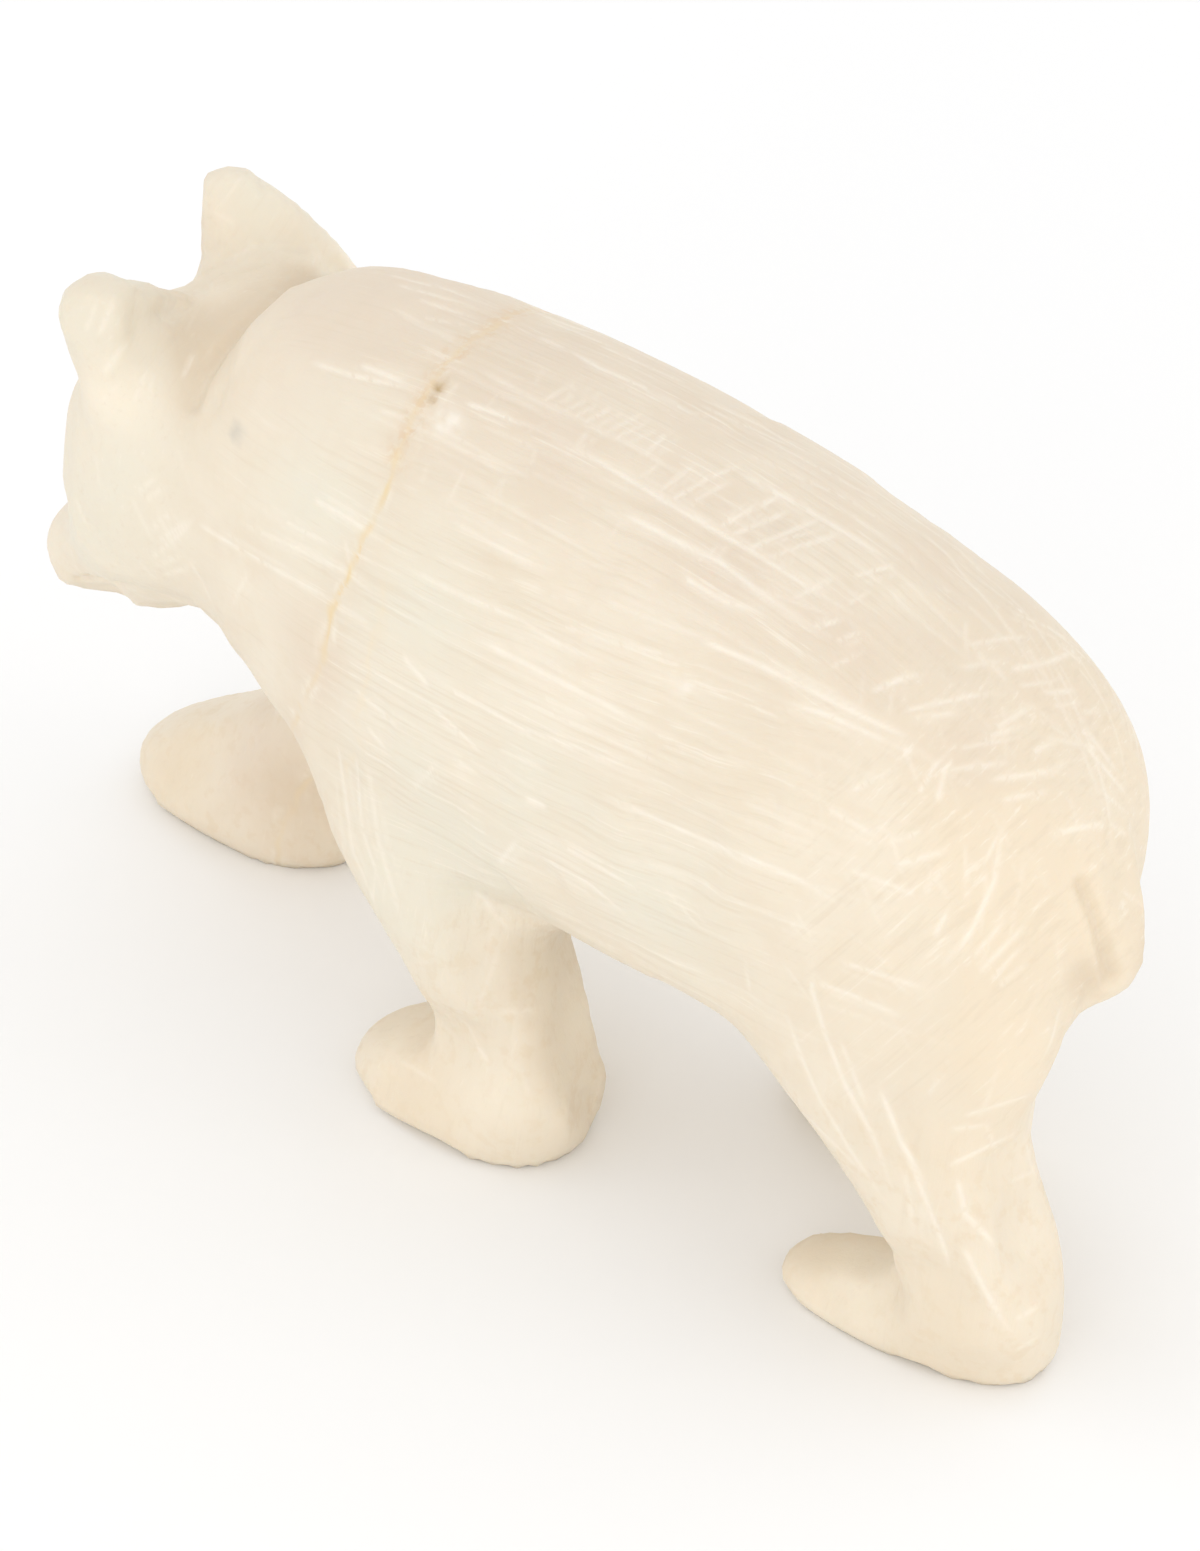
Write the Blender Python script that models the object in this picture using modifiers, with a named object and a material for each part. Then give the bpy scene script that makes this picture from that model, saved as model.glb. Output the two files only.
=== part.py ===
"""A small walking bear carved from one piece of soapstone, its head lowered.

Metres, +Z up. The bear faces -Y, its left side is +X, and it stands on z = 0.
"""

import math

import bmesh
import bpy
from mathutils import Matrix, Vector

# The bear's size: muzzle to rump. Every other size of the figure is a share of it,
# written in hundredths, so on this bear of 100 mm the tables below read as millimetres.
BEAR_LENGTH = 0.100
HUNDREDTH = BEAR_LENGTH / 100

STONE_COLOUR = (0.86, 0.80, 0.70, 1.0)
STONE_ROUGHNESS = 0.55

# Cross-sections, as (forward, top, widest height, bottom, half width).
TRUNK = (
    (-52.8, 41.0, 40.0, 39.0, 0.0),
    (-52.0, 45.2, 39.5, 31.0, 7.5),
    (-48.6, 50.2, 38.5, 25.0, 13.2),
    (-43.0, 54.3, 38.0, 21.6, 16.2),
    (-35.0, 57.7, 38.0, 19.8, 17.5),
    (-24.0, 60.5, 38.0, 19.2, 18.1),
    (-12.0, 62.0, 38.0, 19.2, 18.1),
    (0.0, 62.6, 38.5, 19.6, 17.4),
    (10.0, 62.6, 39.5, 21.0, 16.0),
    (19.0, 61.6, 41.0, 24.3, 14.0),
    (26.0, 58.4, 42.5, 29.2, 12.0),
    (31.0, 52.0, 43.0, 33.4, 10.0),
    (34.0, 44.0, 43.0, 42.0, 0.0),
)
# The head's own frame starts inside the skull and looks along the muzzle.
HEAD_START = (24.0, 0.0, 47.0)
HEAD_PITCH = math.radians(48)
HEAD_YAW = math.radians(8)
SKULL = (
    (-7.0, 2.0, 1.0, 0.0, 0.0),
    (-5.5, 6.5, 1.0, -6.0, 7.0),
    (-1.0, 10.0, 1.0, -9.5, 10.6),
    (5.0, 13.0, 1.0, -10.0, 12.2),
    (10.0, 14.4, 1.0, -9.5, 12.6),
    (14.5, 13.1, 1.0, -7.5, 11.6),
    (18.0, 8.8, 1.4, -3.8, 8.3),
    (21.5, 6.8, 1.8, -2.0, 6.6),
    (25.5, 6.8, 2.0, -1.9, 6.5),
    (28.4, 5.8, 2.0, -1.4, 5.7),
    (29.6, 2.8, 2.0, 1.0, 0.0),
)
JAW = (
    (-2.0, -3.0, -4.0, -5.0, 0.0),
    (0.0, -1.0, -4.0, -10.6, 6.0),
    (7.0, -1.0, -4.0, -11.6, 8.6),
    (14.0, -1.0, -4.0, -9.7, 7.8),
    (19.0, -1.0, -4.0, -7.0, 6.2),
    (22.8, -1.4, -3.8, -6.2, 5.2),
    (25.2, -2.0, -3.9, -5.7, 4.6),
    (25.8, -3.4, -3.9, -4.4, 0.0),
)
# Limbs have horizontal sections, as (height, forward, left, half length, half width, degrees turned out).
FRONT_LEFT_LEG = (
    (-4.0, -1.6, 9.6, 8.6, 5.6, 0.0),
    (2.0, -1.6, 9.6, 10.9, 7.2, 0.0),
    (4.6, -3.6, 9.6, 9.8, 6.8, 0.0),
    (7.4, -6.2, 9.7, 6.5, 6.1, 0.0),
    (12.0, -5.1, 9.8, 6.0, 6.2, 0.0),
    (17.0, -2.1, 9.9, 7.0, 6.7, 0.0),
    (23.0, 1.9, 9.5, 9.4, 7.3, 0.0),
    (30.0, 4.6, 8.2, 10.2, 7.4, 0.0),
    (38.0, 5.0, 6.6, 8.0, 6.0, 0.0),
    (46.0, 5.0, 5.0, 0.0, 0.0, 0.0),
)
FRONT_RIGHT_LEG = (
    (-4.0, 37.4, -8.5, 9.4, 6.2, 0.0),
    (2.2, 37.4, -8.5, 11.9, 7.6, 0.0),
    (4.8, 36.0, -8.6, 10.8, 7.2, 0.0),
    (8.0, 33.2, -8.9, 8.2, 6.4, 0.0),
    (12.0, 29.4, -9.2, 6.8, 6.2, 0.0),
    (17.0, 24.2, -9.6, 7.2, 6.6, 0.0),
    (23.0, 18.0, -9.4, 8.8, 7.2, 0.0),
    (30.0, 12.0, -8.2, 9.6, 7.4, 0.0),
    (38.0, 8.0, -6.6, 8.0, 6.0, 0.0),
    (46.0, 6.0, -5.0, 0.0, 0.0, 0.0),
)
HIND_LEFT_LEG = (
    (-4.0, -44.4, 7.9, 9.8, 4.4, 6.0),
    (1.8, -44.4, 7.9, 12.4, 5.5, 6.0),
    (3.6, -47.2, 8.2, 9.8, 5.4, 6.0),
    (5.8, -50.4, 8.6, 7.2, 5.5, 6.0),
    (12.0, -50.3, 9.1, 7.0, 5.8, 4.0),
    (18.0, -46.8, 9.4, 7.8, 6.7, 2.0),
    (24.0, -42.0, 9.2, 12.2, 7.5, 0.0),
    (30.0, -40.4, 8.0, 16.2, 8.0, 0.0),
    (38.0, -40.0, 7.0, 13.2, 7.6, 0.0),
    (48.0, -38.0, 6.0, 0.0, 0.0, 0.0),
)
HIND_RIGHT_LEG = (
    (-4.0, -28.6, -9.6, 9.4, 4.4, -6.0),
    (2.0, -28.6, -9.6, 11.8, 5.6, -6.0),
    (4.2, -30.4, -9.6, 10.0, 5.5, -6.0),
    (6.8, -32.6, -9.6, 7.6, 5.5, -6.0),
    (11.0, -33.6, -9.8, 6.8, 5.8, -4.0),
    (16.0, -33.8, -9.9, 7.6, 6.6, -2.0),
    (22.0, -35.2, -9.6, 10.6, 7.3, 0.0),
    (29.0, -36.6, -8.4, 12.6, 7.8, 0.0),
    (38.0, -37.6, -7.2, 11.6, 7.4, 0.0),
    (48.0, -37.0, -6.0, 0.0, 0.0, 0.0),
)
TAIL = (
    (30.4, -55.0, 0.0, 0.0, 0.0, 0.0),
    (31.2, -55.0, 0.0, 1.8, 2.6, 0.0),
    (34.0, -54.3, 0.0, 3.1, 4.0, 0.0),
    (39.0, -52.2, 0.0, 4.6, 5.0, 0.0),
    (45.0, -48.4, 0.0, 5.4, 6.0, 0.0),
    (50.0, -44.2, 0.0, 5.0, 6.6, 0.0),
    (54.0, -40.0, 0.0, 0.0, 0.0, 0.0),
)

# Ears: a leaf-shaped blade on each top corner of the skull, as the places of its root and its tip,
# and how far its broad side is turned back from pointing straight outward.
LEFT_EAR_ROOT, LEFT_EAR_TIP = (34.8, 6.8, 46.5), (38.5, 10.2, 59.6)
LEFT_EAR_TURN = 22.0
RIGHT_EAR_ROOT, RIGHT_EAR_TIP = (35.0, -8.0, 46.0), (39.1, -9.6, 60.4)
RIGHT_EAR_TURN = 58.0
# As (share of the way up, reach inward, reach outward, reach forward, reach back).
LEFT_EAR = (
    (-0.05, 0.0, 0.0, 0.0, 0.0),
    (0.0, 5.4, 4.0, 4.4, 4.8),
    (0.3, 5.2, 3.4, 3.6, 5.2),
    (0.6, 4.8, 3.2, 3.0, 5.3),
    (0.85, 3.8, 3.0, 2.4, 4.5),
    (0.97, 2.2, 1.8, 1.6, 2.4),
    (1.0, 0.0, 0.0, 0.0, 0.0),
)
RIGHT_EAR = (
    (-0.05, 0.0, 0.0, 0.0, 0.0),
    (0.0, 5.0, 10.8, 5.0, 5.0),
    (0.3, 4.2, 9.6, 4.4, 4.4),
    (0.6, 2.8, 6.9, 3.5, 3.5),
    (0.85, 2.3, 3.6, 2.4, 2.4),
    (0.97, 1.5, 1.4, 1.2, 1.2),
    (1.0, 0.0, 0.0, 0.0, 0.0),
)

RING_POINTS = 32
STEPS_BETWEEN_SECTIONS = 5
BOXINESS = 2.3  # 2 is an ellipse, and more is squarer
MESH_SIZE = 0.9 * HUNDREDTH
SMOOTHING_ROUNDS = 8
JOIN_SMOOTHING_ROUNDS = 60
LAST_SMOOTHING_ROUNDS = 4
JOINS_START = (13.0, 24.0)  # heights between which the stronger smoothing begins
HEAD_BEGINS = (24.0, 32.0)  # places forward between which it ends
TAIL_ENDS = (-54.0, -49.0)  # and between which it sets in behind
KEPT_FACES = 0.16


def row_point(forward, left, up):
    """A point of the bear, in hundredths of its length, as a place in metres."""
    return Vector((left, -forward, up)) * HUNDREDTH


def curve_value(a, b, c, d, t):
    """A share t of the way from b to c on the Catmull-Rom curve through a, b, c and d."""
    slope, bend, twist = c - a, 2 * a - 5 * b + 4 * c - d, 3 * b - a - 3 * c + d
    return b + 0.5 * (slope * t + bend * t**2 + twist * t**3)


def smooth_between(sections):
    """The sections with more between them, on a Catmull-Rom curve through all of them."""
    ends = (sections[0],) + tuple(sections) + (sections[-1],)
    curve = []
    for before, here, there, after in zip(ends, ends[1:], ends[2:], ends[3:]):
        for step in range(STEPS_BETWEEN_SECTIONS):
            t = step / STEPS_BETWEEN_SECTIONS
            curve.append(tuple(curve_value(*values, t) for values in zip(before, here, there, after)))
    return curve + [sections[-1]]


def ring_angles():
    return [2 * math.pi * i / RING_POINTS for i in range(RING_POINTS)]


def squared(share):
    """A sine or cosine pushed outward, so that the ring is a little boxy."""
    return math.copysign(abs(share) ** (2 / BOXINESS), share)


def upright_ring(forward, top, widest, bottom, half_width):
    """An egg-shaped ring across the body: (forward, left, up) points."""
    points = []
    for angle in ring_angles():
        rise = squared(math.sin(angle))
        reach = top - widest if rise > 0 else widest - bottom
        points.append((forward, half_width * squared(math.cos(angle)), widest + reach * rise))
    return points


def level_ring(up, forward, left, half_length, half_width, turned_out):
    """A horizontal ring round a limb: (forward, left, up) points."""
    turn = Matrix.Rotation(math.radians(turned_out), 2)
    points = []
    for angle in ring_angles():
        reach = Vector((half_length * squared(math.sin(angle)), half_width * squared(math.cos(angle))))
        along, across = turn @ reach
        points.append((forward + along, left + across, up))
    return points


def loft(name, rings, to_row):
    """A closed skin over rings of equally many points. The first and last rings have shrunk to a point."""
    skin = bmesh.new()
    start, end = (skin.verts.new(to_row(*ring[0])) for ring in (rings[0], rings[-1]))
    loops = [[skin.verts.new(to_row(*point)) for point in ring] for ring in rings[1:-1]]
    for i in range(RING_POINTS):
        j = (i + 1) % RING_POINTS
        skin.faces.new((start, loops[0][i], loops[0][j]))
        skin.faces.new((end, loops[-1][j], loops[-1][i]))
        for low, high in zip(loops, loops[1:]):
            skin.faces.new((low[i], high[i], high[j], low[j]))
    bmesh.ops.recalc_face_normals(skin, faces=skin.faces)
    mesh = bpy.data.meshes.new(name)
    skin.to_mesh(mesh)
    skin.free()
    return bpy.data.objects.new(name, mesh)


def trunk():
    rings = [upright_ring(*section) for section in smooth_between(TRUNK)]
    return loft("trunk", rings, row_point)


def about(point, turn):
    return Matrix.Translation(point) @ turn @ Matrix.Translation(-Vector(point))


def head_frame():
    """From the head's own (forward, left, up) to the bear's, both in hundredths."""
    return (
        Matrix.Translation(HEAD_START)
        @ Matrix.Rotation(HEAD_YAW, 4, "Z")
        @ Matrix.Rotation(HEAD_PITCH, 4, "Y")
    )


def head_piece(name, sections):
    frame = head_frame()
    rings = [upright_ring(*section) for section in smooth_between(sections)]
    return loft(name, rings, lambda *point: row_point(*(frame @ Vector(point))))


def limb(name, sections):
    rings = [level_ring(*section) for section in smooth_between(sections)]
    return loft(name, rings, row_point)


def ear(name, side, root, tip, turned_back, sections):
    """side is 1 for the bear's left and -1 for its right."""
    root, tip = Vector(root), Vector(tip)
    up = (tip - root).normalized()
    turned = math.radians(turned_back)
    outward = Vector((-math.sin(turned), side * math.cos(turned), 0))
    across = (outward - outward.dot(up) * up).normalized()
    back = side * up.cross(across)
    rings = []
    for share, inward, outward, before, behind in smooth_between(sections):
        middle = root + up * (share * (tip - root).length)
        rings.append(
            [
                middle
                + across * (math.cos(a) * (outward if math.cos(a) > 0 else inward))
                + back * (math.sin(a) * (behind if math.sin(a) > 0 else before))
                for a in ring_angles()
            ]
        )
    turn = about(HEAD_START, Matrix.Rotation(HEAD_YAW, 4, "Z"))
    return loft(name, rings, lambda *point: row_point(*(turn @ Vector(point))))


def voxel_skin(thing):
    skin = thing.modifiers.new("skin", "REMESH")
    skin.mode = "VOXEL"
    skin.voxel_size = MESH_SIZE


def smoothed(thing, rounds, group=""):
    filed = thing.modifiers.new("filed", "SMOOTH")
    filed.factor = 0.5
    filed.iterations = rounds
    filed.vertex_group = group


def fused(pieces, name):
    """One closed skin round all the pieces."""
    block = bmesh.new()
    for piece in pieces:
        block.from_mesh(piece.data)
        bpy.data.objects.remove(piece)
    mesh = bpy.data.meshes.new(name)
    block.to_mesh(mesh)
    block.free()
    rough = bpy.data.objects.new(name, mesh)
    bpy.context.scene.collection.objects.link(rough)
    voxel_skin(rough)
    mesh = bpy.data.meshes.new_from_object(rough.evaluated_get(bpy.context.evaluated_depsgraph_get()))
    bpy.data.objects.remove(rough)
    return bpy.data.objects.new(name, mesh)


def middle_between_ends(stone):
    """How far back the middle of the footprint's length is from the tables' zero, in metres."""
    reach = [vertex.co.y for vertex in stone.data.vertices]
    return (min(reach) + max(reach)) / 2


def share_between(value, low, high):
    """0 below low, 1 above high and a straight rise between them."""
    return min(max((value - low) / (high - low), 0), 1)


def file_the_joins(stone):
    """Softens the whole skin a little, and most where the limbs and the tail grow out of the trunk."""
    joins = stone.vertex_groups.new(name="joins")
    for vertex in stone.data.vertices:
        forward, up = -vertex.co.y / HUNDREDTH, vertex.co.z / HUNDREDTH
        weight = share_between(up, *JOINS_START) * share_between(forward, *TAIL_ENDS)
        weight *= 1 - share_between(forward, *HEAD_BEGINS)
        joins.add([vertex.index], weight, "REPLACE")
    smoothed(stone, SMOOTHING_ROUNDS)
    smoothed(stone, JOIN_SMOOTHING_ROUNDS, joins.name)
    voxel_skin(stone)
    smoothed(stone, LAST_SMOOTHING_ROUNDS)
    coarser = stone.modifiers.new("coarser", "DECIMATE")
    coarser.ratio = KEPT_FACES


def ground_cutter():
    """A block whose top is z = 0: it takes off what is below, which leaves flat soles."""
    depth = 20 * HUNDREDTH
    bpy.ops.mesh.primitive_cube_add(size=1)
    cutter = bpy.context.active_object
    cutter.name = "ground_cutter"
    cutter.dimensions = (2 * BEAR_LENGTH, 2 * BEAR_LENGTH, depth)
    cutter.location = (0, 0, -depth / 2)
    cutter.hide_render = True
    cutter.display_type = "WIRE"
    return cutter


def stone_material():
    material = bpy.data.materials.new("soapstone")
    material.use_nodes = True
    shader = material.node_tree.nodes["Principled BSDF"]
    shader.inputs["Base Color"].default_value = STONE_COLOUR
    shader.inputs["Roughness"].default_value = STONE_ROUGHNESS
    shader.inputs["Metallic"].default_value = 0.0
    return material


def main():
    for old in list(bpy.data.objects):
        bpy.data.objects.remove(old)

    figure = bpy.data.collections.new("soapstone_bear")
    cutters = bpy.data.collections.new("cutters")
    for collection in (figure, cutters):
        bpy.context.scene.collection.children.link(collection)

    bear = fused(
        [
            trunk(),
            head_piece("skull", SKULL),
            head_piece("jaw", JAW),
            ear("left_ear", 1, LEFT_EAR_ROOT, LEFT_EAR_TIP, LEFT_EAR_TURN, LEFT_EAR),
            ear("right_ear", -1, RIGHT_EAR_ROOT, RIGHT_EAR_TIP, RIGHT_EAR_TURN, RIGHT_EAR),
            limb("front_left_leg", FRONT_LEFT_LEG),
            limb("front_right_leg", FRONT_RIGHT_LEG),
            limb("hind_left_leg", HIND_LEFT_LEG),
            limb("hind_right_leg", HIND_RIGHT_LEG),
            limb("tail", TAIL),
        ],
        "bear",
    )
    figure.objects.link(bear)
    file_the_joins(bear)
    bear.data.transform(Matrix.Translation((0, -middle_between_ends(bear), 0)))
    bear.data.materials.append(stone_material())

    cutter = ground_cutter()
    for collection in cutter.users_collection:
        collection.objects.unlink(cutter)
    cutters.objects.link(cutter)
    soles = bear.modifiers.new("soles", "BOOLEAN")
    soles.operation = "DIFFERENCE"
    soles.object = cutter


main()
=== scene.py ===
"""The soapstone bear, dressed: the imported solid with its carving, its file strokes and its stone.

Sizes are in millimetres until the mesh is written, and pixels are those of the 1200 x 1551 photograph.
"""

import math
import random

import bpy
import numpy as np
from mathutils import Matrix, Vector, noise
from mathutils.bvhtree import BVHTree
from mathutils.kdtree import KDTree


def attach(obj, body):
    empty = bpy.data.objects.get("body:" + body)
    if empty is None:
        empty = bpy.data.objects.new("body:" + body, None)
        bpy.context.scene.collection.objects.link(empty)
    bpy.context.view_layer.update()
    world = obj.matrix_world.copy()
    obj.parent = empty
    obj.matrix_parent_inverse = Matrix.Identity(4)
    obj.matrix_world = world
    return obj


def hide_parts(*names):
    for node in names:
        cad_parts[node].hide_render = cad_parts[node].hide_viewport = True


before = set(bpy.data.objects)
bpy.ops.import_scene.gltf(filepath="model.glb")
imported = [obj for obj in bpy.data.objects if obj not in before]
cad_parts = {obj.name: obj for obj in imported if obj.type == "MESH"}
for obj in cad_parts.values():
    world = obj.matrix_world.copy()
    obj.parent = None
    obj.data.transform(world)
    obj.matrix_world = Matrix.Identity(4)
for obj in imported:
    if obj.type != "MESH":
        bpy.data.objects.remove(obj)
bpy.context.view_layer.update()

MM = 0.001
SEED = 7

# The camera of the photograph.
PHOTO_WIDTH, PHOTO_HEIGHT = 1200, 1551
CAMERA_AZIMUTH, CAMERA_ELEVATION = 131.5, 35.5
CAMERA_TARGET = (0.0, -4.26, 33.0)
CAMERA_DISTANCE = 800.0
CAMERA_SIDESTEP, CAMERA_RISE = 4.39, -6.59
LENS, SENSOR = 245.1, 36.0
PIXELS_TO_MM = 1 / 13.2  # at the bear's distance

# The mesh of the stone.
BASE_VOXEL = 1.05
SMOOTHING_ROUNDS = 8
SIZE_ROUNDS = 3  # how often what the smoothing took off is itself smoothed before it is given back
REFINEMENTS = (0.62, 0.2)  # how near to a mark its edges are halved, once for each number
CUT_MARGIN = 0.7  # how much further from a crease they are halved
STEP = 0.16  # between the places along a mark
LONGEST_GAP = 8 * STEP  # a traced mark that jumps further has left the stone's edge
STRAIGHT = 0.8  # a file's stroke ends where the stone faces further round than this cosine

# The head's own frame, as the solid has it.
HEAD_START = (24.0, 0.0, 47.0)
HEAD_PITCH, HEAD_YAW = 48.0, 8.0
YAW_TURN = Matrix.Rotation(math.radians(HEAD_YAW), 3, "Z")
HEAD_TURN = YAW_TURN @ Matrix.Rotation(math.radians(HEAD_PITCH), 3, "Y")
ROW_TO_MESH = 4.26  # the solid's tables start this far ahead of the middle of its box

# Creases cut with the edge of a file: (width, depth, pixels).
CREASE_SLOPE = 0.6  # the share of its width over which a crease's depth falls off
CREASES = (
    (1.5, 0.75, ((342, 264), (314, 270), (279, 290), (247, 318), (221, 348), (200, 380), (190, 405))),
    (1.6, 0.15, ((318, 292), (284, 316), (252, 348), (226, 384), (206, 420))),
    (1.4, 0.25, ((262, 262), (232, 268), (206, 280), (190, 298))),
    (1.1, 0.85, ((1082, 884), (1096, 916), (1105, 948), (1114, 980))),
    (1.8, 0.50, ((1082, 972), (1090, 990), (1094, 1004))),
    (2.4, 0.50, ((498, 882), (528, 915), (556, 945))),
)
# Flats left by the broad side of a file:
# (pixel, degrees turned to the right, degrees turned up, depth, reach). None is cut deeper than FLAT_MOST.
FLAT_MOST = 1.2
FLATS = (
    ((578, 1020), 24, 0, 0.9, 9.0),
    ((562, 1045), 12, 0, 0.4, 6.0),
    ((478, 960), -6, 0, 0.35, 8.0),
    ((470, 1090), 0, 10, 0.5, 8.0),
    ((420, 1095), -4, 4, 0.45, 6.0),
    ((98, 335), -8, 5, 0.45, 6.0),
    ((245, 225), 6, 4, 0.5, 7.0),
    ((860, 1300), -4, 8, 0.4, 6.0),
    ((940, 1320), 0, 6, 0.4, 7.0),
    ((1015, 1230), 16, 0, 0.5, 8.0),
    ((1120, 880), 10, 0, 0.4, 6.0),
    ((210, 770), 0, 8, 0.4, 6.0),
)
# The heel of the left front foot, cut straight: a pixel, degrees to the right of the camera, depth,
# reach and the most that comes off.
HEEL_PIXEL, HEEL_TURN, HEEL_DEPTH, HEEL_REACH, HEEL_MOST = (590, 1125), 75, 0.9, 4.5, 2.0
# The undersides of the jaw and the muzzle, cut level as the photograph sees them: (place, reach), and the
# way that both face, in the solid's tables.
UNDERSIDES = (((34.3, 5.6, 28.0), 5.5), ((40.2, 7.7, 28.3), 4.0))
UNDERSIDE_FACING, UNDERSIDE_MOST = (-0.385, 0.435, -0.814), 2.5
PLANE_EDGE = 0.06  # how softly a filed plane meets the stone round it
PLANE_CORE = 0.6  # the share of its reach over which it is cut in full
# Stone added round bars that lie inside the solid, in its own tables: (start, end, radius).
PAD_EDGE = 0.35  # how softly added stone meets the rest
PADS = (
    ((35.0, 7.6, 54.0), (33.5, 0.5, 49.6), 3.8),
    ((34.0, 7.2, 53.4), (26.0, 7.2, 50.8), 3.2),
    ((34.0, 1.5, 47.3), (28.5, 1.5, 49.3), 7.0),
)
# Hollows made up with stone: (pixel, reach, how many times, how wide).
SOFT_CORE = 0.5  # the share of its reach over which a hollow is made up, or a place rubbed, in full
FILLS = (
    ((262, 280), 6.5, 12, 25),
    ((230, 308), 6.0, 14, 25),
    ((204, 350), 6.0, 14, 25),
    ((142, 322), 6.5, 10, 60),
    ((444, 1045), 8.0, 8, 60),
    ((884, 1258), 8.0, 8, 60),
    ((1130, 880), 5.0, 4, 25),
)
# Places rubbed smooth: (pixel, reach).
RUBBED = (((446, 1045), 5.0), ((886, 1265), 5.0), ((185, 345), 6.0), ((240, 310), 5.0))
RUB_ROUNDS = 25
# Small facets all over: how many, how far each leans, and the ranges of their depth and reach.
SMALL_FLATS = 260
SMALL_LEAN = 0.07
SMALL_DEPTHS, SMALL_REACHES = (0.08, 0.2), (3.5, 7)
SMALL_MOST = 0.28

# The root of the muzzle is broader than the solid's by this share. In the head's frame, its middle lies to
# the left, the share rises and falls again going forward, and it rises from the underside up.
MUZZLE_WIDENING, MUZZLE_MIDDLE = 0.36, 1
MUZZLE_RISE, MUZZLE_FALL, MUZZLE_BOTTOM = (13.5, 19), (19.5, 26.5), (-6, -1)

# Pairs of cuts in the face, in the head's frame: (forward, out from the middle, up, the middle's place
# to the left, width, depth). They are the nostrils, the eye hollows and the hollows under the brow.
FACE_CUTS = (
    (28.6, 2.3, 3.4, 2, 1.3, 1.0),
    (17.5, 9.0, 6.5, 1, 1.9, 0.75),
    (13.0, 7.0, 9.0, 1, 4.0, 0.3),
)
MOUTH_BACK, MOUTH_FRONT, MOUTH_OUT, MOUTH_MIDDLE, MOUTH_HEIGHT = 18, 27.5, 9.0, 2, -2.9
MOUTH_WIDTH, MOUTH_DEPTH, MOUTH_PLACES = 1.1, 0.6, 60

# The ears from root to tip, in the solid's tables, and the dish in the front of each.
EARS = (((34.8, 6.8, 46.5), (38.5, 10.2, 59.6)), ((35.0, -8.0, 46.0), (39.1, -9.6, 60.4)))
DISH_PLACE = 0.55  # of the way to the tip
DISH_DEPTH, DISH_RADIUS = 1.3, 3.0
DISH_SHAPE = (1, 0.6, 0.7)

# Strokes that the photograph shows: (weight, pixels).
BACK_STROKES = (
    (1.0, ((466, 403), (498, 414), (530, 428))),
    (0.9, ((545, 438), (600, 462), (650, 492), (712, 528), (760, 556), (810, 588), (890, 636))),
    (0.9, ((622, 513), (680, 542), (720, 562), (760, 592), (810, 625), (843, 645))),
    (0.8, ((680, 575), (725, 602), (762, 611))),
    (0.8, ((570, 350), (600, 368), (640, 385), (690, 412), (722, 420))),
    (0.6, ((538, 336), (570, 350))),
    (0.5, ((552, 322), (620, 350))),
    (0.5, ((600, 345), (690, 385))),
    (0.5, ((700, 405), (800, 450))),
    (0.5, ((750, 430), (900, 512))),
    (0.6, ((700, 398), (760, 425), (820, 460))),
    (0.5, ((750, 455), (850, 500), (905, 536))),
    (0.9, ((738, 472), (800, 505), (850, 535), (892, 562))),
    (0.5, ((575, 420), (640, 450), (690, 480))),
    (0.5, ((480, 370), (540, 402), (600, 430))),
    (0.4, ((860, 480), (960, 550), (1000, 590))),
    (0.5, ((390, 275), (450, 290), (505, 312))),
    (0.6, ((400, 285), (470, 305))),
    (0.5, ((420, 300), (482, 320))),
    (0.5, ((425, 318), (470, 326))),
    (0.8, ((310, 362), (350, 375), (425, 392))),
    (0.8, ((360, 365), (412, 385))),
    (0.5, ((425, 350), (470, 366))),
    (0.4, ((380, 410), (425, 425))),
)
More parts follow.
